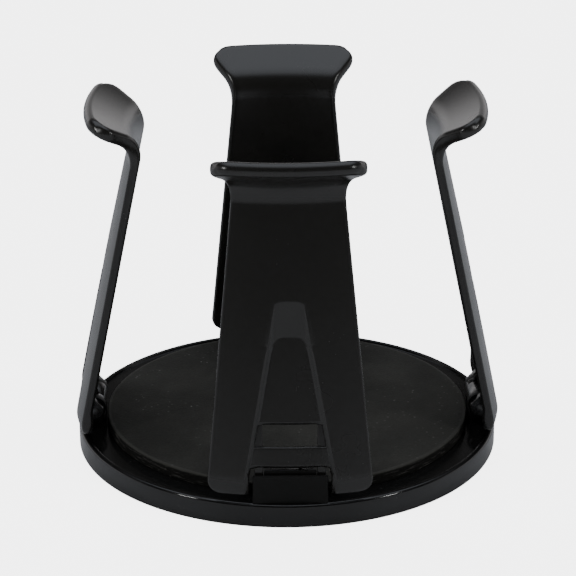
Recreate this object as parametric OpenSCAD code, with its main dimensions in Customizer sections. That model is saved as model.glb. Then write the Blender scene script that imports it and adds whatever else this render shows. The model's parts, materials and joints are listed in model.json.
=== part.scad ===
// Cup holder expander: a round tray with a soft mat and four sprung, inward-leaning arms.
// Z is up, the origin is the middle of the underside. A station is one arm's place on the
// tray: X runs outwards from the pin, Y along the pin, Z up from the tray's floor.

/* [Tray] */
// Outside radius of the tray
base_r = 55; // [50:0.5:65]
// Height of the tray's floor above the table
floor_z = 5.6; // [5:0.1:9]
// Thickness of the tray's floor
floor_t = 2.4; // [1.8:0.1:3]
// Height of the rim above the floor
rim_h = 0.6; // [0.3:0.1:2]
// Width of the raised rim
rim_w = 1.4; // [1.2:0.1:2]
// Rounding of the rim's outer edge
rim_round = 1; // [0.4:0.1:1.1]
// Thickness of the skirt under the floor
skirt_t = 2.2; // [1.6:0.1:2.6]
// Thickness of the ribs under the floor
rib_t = 1.6; // [1:0.1:2.5]
// Gap between the ribs and the table
rib_gap = 0.6; // [0.2:0.1:1.5]
// Number of radial ribs
rib_count = 8; // [4:4:12]

/* [Mat] */
// Gap between the mat and the hinge brackets
mat_gap = 0.5; // [0.3:0.1:4]
// Thickness of the mat
mat_t = 3; // [1:0.1:3.2]
// Rounding of the mat's top edge
mat_round = 0.5; // [0.2:0.1:0.8]

/* [Arm wall] */
// Distance from the tray's edge in to the hinge pin
pin_inset = 4.6; // [4.4:0.1:6]
// Height of the hinge pin above the floor
pin_h = 5.4; // [5.3:0.1:6.5]
// Height of the arm's feet above the floor
foot_gap = 3; // [2:0.1:3.5]
// Outer face of the wall, outwards from the pin at the pin's height
wall_x = 5.7; // [5:0.1:7]
// Angle at which the arm leans inwards
lean = 12.6; // [6:0.1:16]
// Thickness of the wall
wall_t = 2.35; // [2:0.05:3]
// Distance of the foot's inner face outwards from the pin
foot_in = 2.3; // [1.8:0.1:3]
// Radius of the curl at the foot's outer face
foot_curl = 7; // [5:0.5:12]
// Radius to which the arm is bowed round its cup
bow_r = 76; // [65:1:110]
// Half width of the arm at the foot
foot_hw = 20.7; // [18:0.1:24]
// Half width of the arm at the neck
neck_hw = 14; // [12:0.1:16]
// Corner radius of the foot
foot_corner = 3.5; // [1:0.5:5]

/* [Arm lip] */
// Height of the lip's tip above the floor
lip_h = 85.75; // [80:0.25:100]
// Distance of the lip's tip inwards from the pin
lip_back = 1.1; // [-1:0.1:3]
// Angle at which the lip rises outwards
lip_rise = 28; // [20:1:40]
// Difference between the slopes of the lip's two faces
lip_taper = 1.6; // [0.5:0.1:2.5]
// Radius of the bead at the tip
bead_r = 1.8; // [1.4:0.1:2.2]
// Radius of the bend under the lip
bend_under = 6.5; // [4:0.5:8]
// Radius of the bend on the cup's side
bend_cup = 7; // [4:0.5:8]
// Half width of the lip
lip_hw = 18.9; // [17:0.1:22]
// Corner radius of the lip
lip_corner = 4.8; // [1:0.1:6]

/* [Arm recess] */
// Depth of the recess in the outer face
recess_d = 1.2; // [0.6:0.1:1.4]
// Width of the recess's bevelled sides
bevel_w = 1.4; // [0.8:0.1:2]
// Top of the recess above the floor
recess_top = 51; // [40:1:60]
// Length of the ramp at the recess's top
ramp_l = 9; // [5:0.5:14]
// Half width of the recess at its top
recess_top_hw = 3.5; // [2.5:0.1:5]
// Half width of the recess at the crossbar
recess_foot_hw = 10.9; // [10.2:0.1:12]
// Height of the crossbar's lower edge above the floor
bar_z = 9.8; // [9.2:0.1:11]
// Height of the crossbar
bar_h = 5.4; // [4:0.1:7]
// Height of the window above the crossbar
window_h = 5.2; // [4.5:0.1:8]
// Chamfer over the window and the arch
gap_chamfer = 0.9; // [0.3:0.1:1.2]

/* [Hinge] */
// Radius of the hinge pin
pin_rad = 1; // [0.8:0.05:1.2]
// Radial running clearance of the pin in the bracket
run_gap = 0.05; // [0.02:0.01:0.1]
// Radius of the arm's knuckle
knuckle_r = 2.4; // [2:0.1:2.6]
// Distance from the middle to the arm's lug
lug_y = 6.7; // [6:0.1:7]
// Thickness of the arm's lug
lug_t = 2.1; // [1.5:0.1:2.2]
// Depth of the lug's rib behind the wall
lug_d = 2; // [1.5:0.1:2.4]
// Height of the lug's top above the floor
lug_top = 28; // [24:0.5:34]
// Gap between a lug and the bracket's ear beside it
ear_gap = 0.3; // [0.3:0.05:0.6]
// Thickness of the bracket's ear
ear_t = 2; // [1.4:0.1:2.4]
// Thickness of the bracket's foot plate
plate_t = 1.6; // [1.2:0.1:2]
// Radius of the bracket's barrel, which hides the spring from outside
barrel_r = 2.85; // [2.8:0.05:2.95]
// Thickness of the barrel's wall
barrel_t = 0.7; // [0.6:0.05:0.75]

/* [Spring and screws] */
// Radius of the spring's wire
wire_r = 0.35; // [0.25:0.05:0.4]
// Gap between the pin and the spring's coil
coil_gap = 0.3; // [0.15:0.05:0.4]
// Number of turns of the spring
coil_turns = 6; // [4:1:7]
// Height above the floor at which the spring pushes the arm
push_h = 11.4; // [10.8:0.1:12]
// Radius of the screw's shank
screw_r = 0.8; // [0.6:0.05:0.9]
// Radius of the screw's head
head_r = 1.7; // [1.5:0.1:1.9]
// Height of the screw's head
head_h = 1.1; // [0.8:0.1:1.4]
// Distance of the screws from the middle of the bracket
screw_y = 2.3; // [2:0.1:2.6]

/* [Hidden] */
SIDES = ["right", "back", "left", "front"];
plastic = "#1b1b1c";
rubber = "#2a2a27";
steel = "#a5a7a8";
small = 0.01;
arc_steps = 10;

pin_x = base_r - pin_inset;
mat_r = pin_x - knuckle_r - mat_gap;
under_h = floor_z - floor_t;
skirt_in = base_r - skirt_t;

fall = tan(lean);
bow_x = wall_x - bow_r;
under_slope = lip_rise - lip_taper / 2;
cup_slope = lip_rise + lip_taper / 2;
tip = [-lip_back, lip_h];
up = 90 + lean;
inner_x = wall_x - wall_t / cos(lean);

lug_out = lug_y + lug_t;
lug_mid = lug_y + lug_t / 2;
lug_sag = bow_r - sqrt(bow_r * bow_r - lug_mid * lug_mid);
ear_out = lug_y - ear_gap;
ear_in = ear_out - ear_t;
coil_r = pin_rad + coil_gap + wire_r;
wire_gap = 0.15;
coil_half = coil_turns * (2 * wire_r + wire_gap) / 2;
coil_leave = 22; // angle at which the wire leaves the coil, from upright
push_x = (push_h - pin_h) * tan(coil_leave) - coil_r / cos(coil_leave);
boss_r = screw_r + 0.65;
pilot_gap = 0.05;
boss_h = plate_t + 1;
pilot_depth = boss_h - 0.3;

// A unit vector at an angle
function way(a) = [cos(a), sin(a)];
// Where a line through p at angle a meets a line through q at angle b
function meet(p, a, q, b) =
    let (d = q - p, s = (d[0] * sin(b) - d[1] * cos(b)) / sin(b - a))
    p + s * way(a);
// An arc of radius r that rounds corner c between directions a0 and a1
function turn(c, a0, a1, r, n = arc_steps) =
    let (d = a1 - a0, s = sign(d), start = c - r * tan(abs(d) / 2) * way(a0))
    let (mid = start + r * s * way(a0 + 90))
    [for (i = [0:n]) mid + r * way(a0 - s * 90 + d * i / n)];
// An arc about m from angle a0 to a1
function arc(m, r, a0, a1, n = arc_steps) =
    [for (i = [0:n]) m + r * way(a0 + (a1 - a0) * i / n)];
// Outer and inner faces of the wall at a height above the floor
function outer_at(z) = wall_x - fall * (z - pin_h);
function inner_at(z) = inner_x - fall * (z - pin_h);

// The wall's section from foot to lip, in the plane of the station's X and Z
curl_z = pin_h + 2.5;
curl_mid = [outer_at(curl_z), curl_z] - foot_curl * way(lean);
curl_end = -asin((curl_mid[1] - foot_gap) / foot_curl);
foot_edge = 0.8;
foot_corner_out = curl_mid + foot_curl * way(curl_end);
foot_turn = meet([foot_in, 0], 90, [inner_x, pin_h], up);
cup_corner = meet([inner_x, pin_h], up, tip + bead_r * way(cup_slope + 90), cup_slope);
under_corner = meet([wall_x, pin_h], up, tip + bead_r * way(under_slope - 90), under_slope);
section = concat(
    turn([foot_in, foot_gap], 180, 90, foot_edge, 4),
    [foot_turn],
    turn(cup_corner, up, cup_slope, bend_cup, 14),
    arc(tip, bead_r, cup_slope + 90, under_slope - 90, 14),
    turn(under_corner, under_slope - 180, up - 180, bend_under, 14),
    arc(curl_mid, foot_curl, lean, curl_end + 4, 6),
    turn(foot_corner_out, curl_end - 90, -180, foot_edge, 4));

// The arm's outline is cut square to a line halfway between wall and lip
cut_angle = 45 - (lean + lip_rise) / 2;
function along(p) = p[0] * sin(cut_angle) + p[1] * cos(cut_angle);
neck_s = along([outer_at(lip_h - 13.6), lip_h - 13.6]);
foot_s = along([foot_in, foot_gap]);
side_angle = atan((neck_hw - foot_hw) / (neck_s - foot_s));
lip_s = along(tip) + bead_r;
flare_angle = 37;
flare_r = 10;
flare_out_r = 4.5;
flare_foot = meet([neck_s, neck_hw], side_angle, [lip_s - 8.3, lip_hw - 1], flare_angle);
flare_top = meet(flare_foot, flare_angle, [lip_s, lip_hw], 0);
outline_half = concat(
    [[-20, neck_hw - tan(side_angle) * (neck_s + 20)]],
    turn(flare_foot, side_angle, flare_angle, flare_r, 12),
    turn(flare_top, flare_angle, 0, flare_out_r, 8),
    turn([lip_s, lip_hw], 0, -90, lip_corner, 8));
outline_end = len(outline_half) - 1;

// Half width of the wall's outer face at a height above the floor
function half_at(z) = neck_hw + tan(side_angle) * (along([outer_at(z), z]) - neck_s);
// Half width of the recess on the outer face at a height above the floor
recess_slope = atan((recess_foot_hw - recess_top_hw) / (recess_top - bar_z));
function recess_hw(z) = recess_foot_hw - (z - bar_z) * tan(recess_slope);
// The window and the arch are as wide as the recess's floor, and the arch's feet stand upright
foot_z = bar_z - 2.5;
gap_over = 0.15;
function gap_hw(z) = recess_hw(max(z, foot_z)) - bevel_w + gap_over;

// Puts a station's pieces at side i: 0 is right, 1 is back, 2 is left, 3 is front
module place(i) {
    rotate(90 * i) translate([pin_x, 0, floor_z]) children();
}

// A prism along the station's Y, drawn in X and Z
module along_y(from, to) {
    translate([0, to, 0]) rotate([90, 0, 0]) linear_extrude(to - from) children();
}

// A body of revolution about the arm's own axis of curvature
module bowed() {
    translate([bow_x, 0, 0])
        rotate([0, 0, -40]) rotate_extrude(angle = 80, $fn = 180)
            translate([-bow_x, 0]) children();
}

module arm_outline() {
    rotate([0, cut_angle, 0]) translate([-100, 0, 0]) rotate([90, 0, 90]) linear_extrude(200)
        polygon(concat(
            [for (p = outline_half) [p[1], p[0]]],
            [for (i = [outline_end:-1:0]) [-outline_half[i][1], outline_half[i][0]]]));
}

module foot_corners() {
    z = foot_gap + foot_corner;
    block = foot_corner + 5;
    for (s = [-1, 1]) translate([-30, s * (half_at(z) - foot_corner), z])
        rotate([0, 90, 0]) difference() {
            translate([0, s > 0 ? 0 : -block, 0]) cube([block, block, 60]);
            cylinder(h = 60, r = foot_corner, $fn = 48);
        }
}

module arm_wall() {
    difference() {
        intersection() {
            bowed() polygon(section);
            arm_outline();
        }
        foot_corners();
    }
}

// The A-shaped recess: everything outside its floor, between two bevelled sides and a ramp
module recess() {
    bottom = -4;
    top = recess_top + 8;
    intersection() {
        bowed() polygon([
            [outer_at(bottom) - recess_d, bottom], [outer_at(bottom) + 6, bottom],
            [outer_at(top) + 12, top], [outer_at(top) - recess_d, top]]);
        translate([wall_x, 0, pin_h]) rotate([0, -lean, 0]) translate([0, 0, -pin_h])
            hull() for (depth = [-0.7, recess_d + 0.9]) translate([-depth, 0, 0])
                rotate([90, 0, 90]) linear_extrude(small) recess_slice(depth, bottom);
    }
}

// The recess's outline at a depth behind the outer face
module recess_slice(depth, bottom) {
    corner = 1;
    top = recess_top - depth * ramp_l / recess_d;
    function hw(z) = let (w = recess_hw(z))
        w + (w * w / (2 * bow_r) - depth) * bevel_w / recess_d;
    function slant(z) = pin_h + (z - pin_h) / cos(lean);
    hull() {
        for (s = [-1, 1]) translate([s * (hw(top) - corner), slant(top) - corner])
            circle(r = corner, $fn = 24);
        translate([-hw(bottom), slant(bottom)]) square([2 * hw(bottom), small]);
    }
}

// Outline of a gap through the wall, from the heights of its sides to its top
function gap_outline(heights, top, r) =
    let (half = concat([for (z = heights) [gap_hw(z), z]],
        turn([gap_hw(top), top], 90 + recess_slope, 180, r, 4)))
    concat(half, [for (i = [len(half) - 1:-1:0]) [-half[i][0], half[i][1]]]);

// The window over the crossbar and the arch under it, each with a chamfer at its top
module gaps() {
    sill = bar_z + bar_h;
    for (gap = [[[-10, foot_z], bar_z, 1], [[sill], sill + window_h, 0.4]]) {
        top = gap[1];
        translate([-10, 0, 0]) rotate([90, 0, 90]) linear_extrude(30)
            polygon(gap_outline(gap[0], top, gap[2]));
        x = outer_at(top) - recess_d;
        y = gap_hw(top) - gap[2];
        along_y(-y, y) polygon([[x - gap_chamfer, top - small], [x + 3, top - small],
            [x + 3, top + gap_chamfer * 2], [x, top + gap_chamfer]]);
    }
}

// Two lugs on the cup's side carry the knuckles
module lugs() {
    edge = lug_sag + lug_d;
    seat = 0.6;
    for (s = [-1, 1]) translate([0, s * lug_mid, 0]) along_y(-lug_t / 2, lug_t / 2) {
        translate([0, pin_h]) circle(r = knuckle_r, $fn = 48);
        polygon([[-knuckle_r * cos(20), pin_h + knuckle_r * sin(20)],
            [inner_at(bar_z) - edge, bar_z],
            [inner_at(lug_top - 7) - edge, lug_top - 7],
            [inner_at(lug_top) - lug_sag + seat, lug_top],
            [inner_at(bar_z) - lug_sag + seat, bar_z],
            [knuckle_r, pin_h]]);
    }
}

module arm() {
    color(plastic) difference() {
        union() {
            difference() {
                arm_wall();
                recess();
                gaps();
            }
            lugs();
        }
        translate([0, 0, pin_h]) rotate([90, 0, 0])
            cylinder(h = 60, r = pin_rad, center = true, $fn = 48);
        for (s = [-1, 1]) translate([push_x, s * (lug_mid - 0.5), push_h]) rotate([90, 0, 0])
            cylinder(h = lug_t + 0.6, r = wire_r + 0.15, center = true, $fn = 32);
    }
}

module hinge_pin() {
    half = lug_out + 0.2;
    cap = 0.2;
    color(steel) translate([0, 0, pin_h]) rotate([90, 0, 0]) rotate_extrude($fn = 48)
        polygon([[0, -half], [pin_rad - cap, -half], [pin_rad, -half + cap],
            [pin_rad, half - cap], [pin_rad - cap, half], [0, half]]);
}

// The spring is one wire: a ring of points round it at each step of its path. Its foot stands
// on the bracket, it winds round the pin, and its hook pushes the arm inwards.
module torsion_spring() {
    steps = 14 * coil_turns;
    sides = 6;
    function ring(c, u, v) = [for (j = [0:sides - 1]) let (a = 360 * j / sides)
        c + wire_r * (cos(a) * u + sin(a) * v)];
    function radial(t) = [sin(t), 0, cos(t)];
    across = [-cos(coil_leave), 0, sin(coil_leave)];
    rise = [sin(coil_leave), 0, cos(coil_leave)];
    rings = concat(
        ring([-coil_r - 0.3, -coil_half, plate_t + 0.05], [-1, 0, 0], [0, 1, 0]),
        [for (i = [0:steps]) let (t = -90 + (360 * coil_turns + coil_leave) * i / steps)
            each ring([0, coil_half * (2 * i / steps - 1), pin_h] + coil_r * radial(t),
                radial(t), [0, 1, 0])],
        ring([push_x, coil_half, push_h], across, [0, 1, 0] - rise),
        ring([push_x, lug_mid - 0.5, push_h], across, -rise));
    last = steps + 3;
    color(steel) polyhedron(rings, concat(
        [[for (j = [sides - 1:-1:0]) j]],
        [for (i = [0:last - 1]) for (j = [0:sides - 1])
            let (k = (j + 1) % sides)
            [i * sides + j, i * sides + k, (i + 1) * sides + k, (i + 1) * sides + j]],
        [[for (j = [0:sides - 1]) last * sides + j]]), convexity = 10);
}

// The bracket: a plate with two bosses for screws, two ears, and a barrel wall between them
module hinge_bracket() {
    wall_in = barrel_r - barrel_t;
    wall_foot = 0.9;
    wall_end = 0.3;
    color(plastic) difference() {
        union() {
            translate([-knuckle_r, -ear_out, 0]) cube([2 * knuckle_r, 2 * ear_out, plate_t]);
            for (s = [-1, 1]) translate([0, s * screw_y, 0])
                cylinder(h = boss_h, r = boss_r, $fn = 32);
            difference() {
                along_y(-ear_out, ear_out) {
                    translate([-knuckle_r, 0]) square([2 * knuckle_r, pin_h]);
                    translate([0, wall_foot]) square([barrel_r, pin_h - wall_foot]);
                    translate([0, pin_h]) circle(r = barrel_r, $fn = 48);
                }
                along_y(-ear_in, ear_in) {
                    translate([0, pin_h]) circle(r = wall_in, $fn = 48);
                    translate([-barrel_r - 1, -1]) square([barrel_r + 1 + wall_in, pin_h + 1]);
                    translate([-barrel_r - 1, -1]) square([barrel_r + 1 + wall_end, pin_h * 2]);
                }
            }
        }
        translate([0, 0, pin_h]) rotate([90, 0, 0])
            cylinder(h = 60, r = pin_rad + run_gap, center = true, $fn = 48);
        for (s = [-1, 1]) translate([0, s * screw_y, -small])
            cylinder(h = pilot_depth + small, r = screw_r + pilot_gap, $fn = 32);
    }
}

module screw() {
    slot = 0.5;
    difference() {
        union() {
            translate([0, 0, -floor_t - head_h]) cylinder(h = head_h, r = head_r, $fn = 32);
            translate([0, 0, -floor_t - small])
                cylinder(h = floor_t + pilot_depth - 0.2, r = screw_r, $fn = 32);
        }
        for (a = [0, 90]) rotate(a) translate([-head_r * 0.6, -slot / 2, -floor_t - head_h - small])
            cube([head_r * 1.2, slot, head_h * 0.6]);
    }
}

module bracket_screws() {
    color(steel) for (i = [0:3]) place(i)
        for (s = [-1, 1]) translate([0, s * screw_y, 0]) screw();
}

module base_tray() {
    hub_r = 20;
    ring_r = 38;
    color(plastic) difference() {
        union() {
            rotate_extrude($fn = 180) polygon(concat(
                [[0, under_h], [skirt_in, under_h], [skirt_in, 0], [base_r - 0.5, 0],
                    [base_r, 0.5]],
                turn([base_r, floor_z + rim_h], 90, 180, rim_round, 8),
                [[base_r - rim_w, floor_z + rim_h], [base_r - rim_w - rim_h / 2, floor_z],
                    [0, floor_z]]));
            for (r = [hub_r, ring_r]) translate([0, 0, rib_gap]) difference() {
                cylinder(h = under_h - rib_gap + small, r = r + rib_t / 2, $fn = 120);
                translate([0, 0, -small])
                    cylinder(h = under_h, r = r - rib_t / 2, $fn = 120);
            }
            for (i = [0:rib_count - 1]) rotate((i + 0.5) * 360 / rib_count)
                translate([hub_r, -rib_t / 2, rib_gap])
                    cube([skirt_in - hub_r + small, rib_t, under_h - rib_gap + small]);
        }
        for (i = [0:3]) place(i) for (s = [-1, 1]) translate([0, s * screw_y, -floor_t - 1])
            cylinder(h = floor_t + 2, r = screw_r + 0.3, $fn = 32);
    }
}

module grip_mat() {
    color(rubber) translate([0, 0, floor_z]) rotate_extrude($fn = 180)
        polygon(concat([[0, 0], [mat_r, 0]],
            turn([mat_r, mat_t], 90, 180, mat_round, 6), [[0, mat_t]]));
}

base_tray();
grip_mat();
for (i = [0:3]) {
    place(i) arm();
    place(i) hinge_pin();
    place(i) torsion_spring();
    place(i) hinge_bracket();
}
bracket_screws();
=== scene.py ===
import json
import math

import bmesh
import bpy
import numpy as np
from mathutils import Matrix, Vector

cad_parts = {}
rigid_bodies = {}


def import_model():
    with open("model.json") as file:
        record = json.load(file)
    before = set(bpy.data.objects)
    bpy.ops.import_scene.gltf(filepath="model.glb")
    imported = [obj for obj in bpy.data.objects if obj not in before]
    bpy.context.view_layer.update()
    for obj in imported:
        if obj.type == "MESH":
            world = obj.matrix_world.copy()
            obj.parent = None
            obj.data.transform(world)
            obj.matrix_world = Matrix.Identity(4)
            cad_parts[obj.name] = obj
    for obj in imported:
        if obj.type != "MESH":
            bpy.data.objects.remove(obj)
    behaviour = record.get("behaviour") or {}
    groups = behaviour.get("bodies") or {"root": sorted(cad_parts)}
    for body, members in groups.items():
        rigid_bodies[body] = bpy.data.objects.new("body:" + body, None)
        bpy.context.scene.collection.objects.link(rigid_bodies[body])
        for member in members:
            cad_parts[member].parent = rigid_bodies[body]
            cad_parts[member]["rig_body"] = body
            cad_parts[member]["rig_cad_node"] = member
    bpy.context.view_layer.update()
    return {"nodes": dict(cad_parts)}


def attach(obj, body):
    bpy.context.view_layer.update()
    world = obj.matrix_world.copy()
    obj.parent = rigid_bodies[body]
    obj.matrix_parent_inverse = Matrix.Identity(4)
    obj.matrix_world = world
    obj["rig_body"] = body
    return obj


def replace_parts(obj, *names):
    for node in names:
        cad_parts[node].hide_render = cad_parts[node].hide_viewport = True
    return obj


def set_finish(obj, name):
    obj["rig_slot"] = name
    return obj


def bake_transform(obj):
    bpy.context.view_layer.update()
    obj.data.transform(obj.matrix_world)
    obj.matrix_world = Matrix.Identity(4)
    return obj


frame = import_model()

MM = 0.001
SIDES = ["right", "back", "left", "front"]

# Sizes are in millimetres and degrees, as in the part's source. A station has X outwards from the
# hinge pin, Y along the pin and Z up from the tray's floor.

# The tray, the ribs under it and the mat
BASE_R, FLOOR_Z, FLOOR_T, RIM_H, RIM_W, SKIRT_T = 55.0, 5.6, 2.4, 0.6, 1.4, 2.2
RIB_T, RIB_GAP, HUB_R, RING_R, RIB_COUNT = 1.6, 0.6, 20.0, 38.0, 8
MAT_R, MAT_T = 47.5, 3.0
# The pin, and the arm's wall with its feet
PIN_X, PIN_H, PIN_R = 50.4, 5.4, 1.0
FOOT_GAP, WALL_X, LEAN, WALL_T, FOOT_IN, FOOT_CURL = 3.0, 5.7, 12.6, 2.35, 2.3, 7.0
BOW_R, FOOT_HW, NECK_HW, FOOT_CORNER = 76.0, 20.7, 14.0, 3.5
# The lip and the bends that lead into it
LIP_H, LIP_BACK, LIP_RISE, LIP_TAPER, BEAD_R = 85.75, 1.1, 28.0, 1.6, 1.8
BEND_UNDER, BEND_CUP, LIP_HW, LIP_CORNER = 6.5, 7.0, 18.9, 4.8
# The recess, the crossbar, the window and the arch
RECESS_D, BEVEL_W, RECESS_TOP, RAMP_L = 1.2, 1.4, 51.0, 9.0
RECESS_TOP_HW, RECESS_FOOT_HW, BAR_Z, BAR_H, WINDOW_H = 3.5, 10.9, 9.8, 5.4, 5.2
GAP_CHAMFER, GAP_OVER = 0.9, 0.15
# The lugs and the spring
KNUCKLE_R, LUG_Y, LUG_T, LUG_TOP, LUG_SEAT = 2.4, 6.7, 2.1, 28.0, 0.6
WIRE_R, COIL_GAP, COIL_TURNS, COIL_LEAVE, PUSH_H = 0.35, 0.3, 6, 22.0, 11.4

FALL = math.tan(math.radians(LEAN))
BOW_X = WALL_X - BOW_R
INNER_X = WALL_X - WALL_T / math.cos(math.radians(LEAN))
TIP = np.array([-LIP_BACK, LIP_H])
HUB = np.array([0.0, PIN_H])
UP = 90 + LEAN
UNDER_SLOPE, CUP_SLOPE = LIP_RISE - LIP_TAPER / 2, LIP_RISE + LIP_TAPER / 2
SILL = BAR_Z + BAR_H
WINDOW_TOP = SILL + WINDOW_H


# Small helpers

def way(angle):
    """The unit vector at an angle in degrees."""
    return np.array([math.cos(math.radians(angle)), math.sin(math.radians(angle))])


def meet(p, a, q, b):
    """Where a line through p at angle a meets a line through q at angle b."""
    d, u, v = q - p, way(a), way(b)
    return p + u * (d[0] * v[1] - d[1] * v[0]) / (u[0] * v[1] - u[1] * v[0])


def turn(corner, a0, a1, r, n):
    """Points of an arc of radius r that rounds a corner between two directions."""
    s = 1 if a1 > a0 else -1
    start = np.asarray(corner, float) - r * math.tan(math.radians(abs(a1 - a0)) / 2) * way(a0)
    middle = start + r * s * way(a0 + 90)
    return [middle + r * way(a0 - s * 90 + (a1 - a0) * i / n) for i in range(n + 1)]


def curve(a, b, c, t):
    """A place on the curve from a to c that bends towards b."""
    return a * (1 - t) ** 2 + b * 2 * t * (1 - t) + c * t * t


def to_frame(points, side):
    """Points of a station, in millimetres, to the row frame in metres."""
    p = np.asarray(points, float).reshape(-1, 3) + [PIN_X, 0, FLOOR_Z]
    c, s = [(1, 0), (0, 1), (-1, 0), (0, -1)][side]
    return np.stack([p[:, 0] * c - p[:, 1] * s, p[:, 0] * s + p[:, 1] * c, p[:, 2]], 1) * MM


def deselect_all():
    if bpy.context.mode != "OBJECT":
        bpy.ops.object.mode_set(mode="OBJECT")
    bpy.ops.object.select_all(action="DESELECT")


def pick(obj):
    """Makes one object the only selected and active one."""
    deselect_all()
    obj.select_set(True)
    bpy.context.view_layer.objects.active = obj
    return obj


def coords(obj):
    co = np.zeros(len(obj.data.vertices) * 3)
    obj.data.vertices.foreach_get("co", co)
    return co.reshape(-1, 3)


def set_coords(obj, co):
    obj.data.vertices.foreach_set("co", np.asarray(co, float).ravel())
    obj.data.update()


def apply_modifier(obj, kind, **settings):
    pick(obj)
    m = obj.modifiers.new(kind.lower(), kind)
    for k, v in settings.items():
        setattr(m, k, v)
    bpy.ops.object.modifier_apply(modifier=m.name)


def edit(obj, how):
    """Runs mesh operators on the whole of an object in edit mode."""
    pick(obj)
    bpy.ops.object.mode_set(mode="EDIT")
    bpy.ops.mesh.select_all(action="SELECT")
    how()
    bpy.ops.object.mode_set(mode="OBJECT")


def clean(obj, distance=1e-6):
    """Merges points that meet, drops faces without area and turns all faces outwards."""
    def how():
        bpy.ops.mesh.remove_doubles(threshold=distance)
        bpy.ops.mesh.dissolve_degenerate(threshold=distance)
        bpy.ops.mesh.select_all(action="SELECT")
        bpy.ops.mesh.normals_make_consistent(inside=False)
    edit(obj, how)


def smooth(obj):
    """Shades smooth, with the big faces kept flat."""
    pick(obj)
    bpy.ops.object.shade_smooth()
    apply_modifier(obj, "WEIGHTED_NORMAL", mode="FACE_AREA", weight=50, keep_sharp=True)


def soften(obj, width, segments=2, angle=30):
    """Rounds the edges sharper than an angle and shades smooth."""
    apply_modifier(obj, "BEVEL", width=width, segments=segments, limit_method="ANGLE",
                   angle_limit=math.radians(angle), use_clamp_overlap=True)
    smooth(obj)


def outline_piece(name, points, closed=True):
    """A circle of as many points as the outline, moved on to it, in the XZ plane."""
    deselect_all()
    fill = "NGON" if closed else "NOTHING"
    bpy.ops.mesh.primitive_circle_add(vertices=len(points), fill_type=fill)
    obj = bpy.context.object
    obj.name = obj.data.name = name
    set_coords(obj, [(p[0] * MM, 0, p[1] * MM) for p in points])
    return obj


def lathe(name, profile, steps=192):
    """Spins a profile of radius and height, in millimetres, about the Z axis."""
    obj = outline_piece(name, profile, closed=False)
    edit(obj, lambda: bpy.ops.mesh.spin(steps=steps, angle=2 * math.pi, center=(0, 0, 0),
                                        axis=(0, 0, 1)))
    clean(obj, 1e-7)
    return obj


def draw_out(obj, length):
    """Gives a flat outline a depth along Y, in millimetres."""
    edit(obj, lambda: bpy.ops.mesh.extrude_region_move(
        TRANSFORM_OT_translate={"value": (0, length * MM, 0)}))


def unit_box():
    """A box of one millimetre about the origin."""
    deselect_all()
    bpy.ops.mesh.primitive_cube_add(size=MM)
    return bpy.context.object


def join_solid(obj, other, how="UNION"):
    apply_modifier(obj, "BOOLEAN", operation=how, solver="EXACT", object=other)
    bpy.data.objects.remove(other)


def copy_of(obj, name, side):
    """A copy with its own mesh, turned from the right station to another one."""
    made = obj.copy()
    made.data = obj.data.copy()
    made.name = made.data.name = name
    bpy.context.scene.collection.objects.link(made)
    made.data.transform(Matrix.Rotation(math.radians(90 * side), 4, "Z"))
    return made


# Materials

def socket(group, name, kind, out=False, value=None, low=None, high=None):
    s = group.interface.new_socket(name, in_out="OUTPUT" if out else "INPUT", socket_type=kind)
    if value is not None:
        s.default_value = value
    if low is not None:
        s.min_value, s.max_value = low, high
    return s


class Nodes:
    """Adds and links nodes in a tree."""

    def __init__(self, tree):
        self.tree = tree
        tree.nodes.clear()

    def feed(self, node, inputs):
        """Links a node's inputs to sockets, or sets them to constant values."""
        for k, v in inputs.items():
            if isinstance(v, bpy.types.NodeSocket):
                self.tree.links.new(v, node.inputs[k])
            else:
                node.inputs[k].default_value = v

    def add(self, kind, inputs=None, **settings):
        n = self.tree.nodes.new(kind)
        for k, v in settings.items():
            setattr(n, k, v)
        self.feed(n, inputs or {})
        return n

    def math(self, how, a, b=0.0, clamp=False):
        return self.add("ShaderNodeMath", {0: a, 1: b}, operation=how, use_clamp=clamp).outputs[0]

    def ramp(self, value, low, high, to_low=0.0, to_high=1.0):
        return self.add("ShaderNodeMapRange", {"Value": value, "From Min": low, "From Max": high,
                                               "To Min": to_low, "To Max": to_high}).outputs[0]

    def noise(self, at, scale, detail=2.0, rough=0.5):
        return self.add("ShaderNodeTexNoise", {"Vector": at, "Scale": scale, "Detail": detail,
                                               "Roughness": rough}).outputs[0]

    def cells(self, at, scale):
        """Distance from the middles of cells."""
        return self.add("ShaderNodeTexVoronoi", {"Vector": at, "Scale": scale},
                        feature="F1").outputs["Distance"]

    def stretch(self, at, scale):
        return self.add("ShaderNodeMapping", {"Vector": at, "Scale": scale}).outputs[0]

    def mix(self, share, a, b):
        n = self.add("ShaderNodeMix", data_type="RGBA")
        self.feed(n, {0: share, 6: a, 7: b})
        return n.outputs[2]

    def bump(self, height, strength, distance):
        return self.add("ShaderNodeBump", {"Height": height, "Strength": strength,
                                           "Distance": distance}).outputs[0]

    def surface(self, **values):
        """A Principled shader in the material's output. Names stand with _ for a space."""
        values = {k.replace("_", " "): v for k, v in values.items()}
        shader = self.add("ShaderNodeBsdfPrincipled", values)
        self.add("ShaderNodeOutputMaterial", {"Surface": shader.outputs[0]})


def new_group(name):
    g = bpy.data.node_groups.new(name, "ShaderNodeTree")
    return g, Nodes(g)


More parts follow.
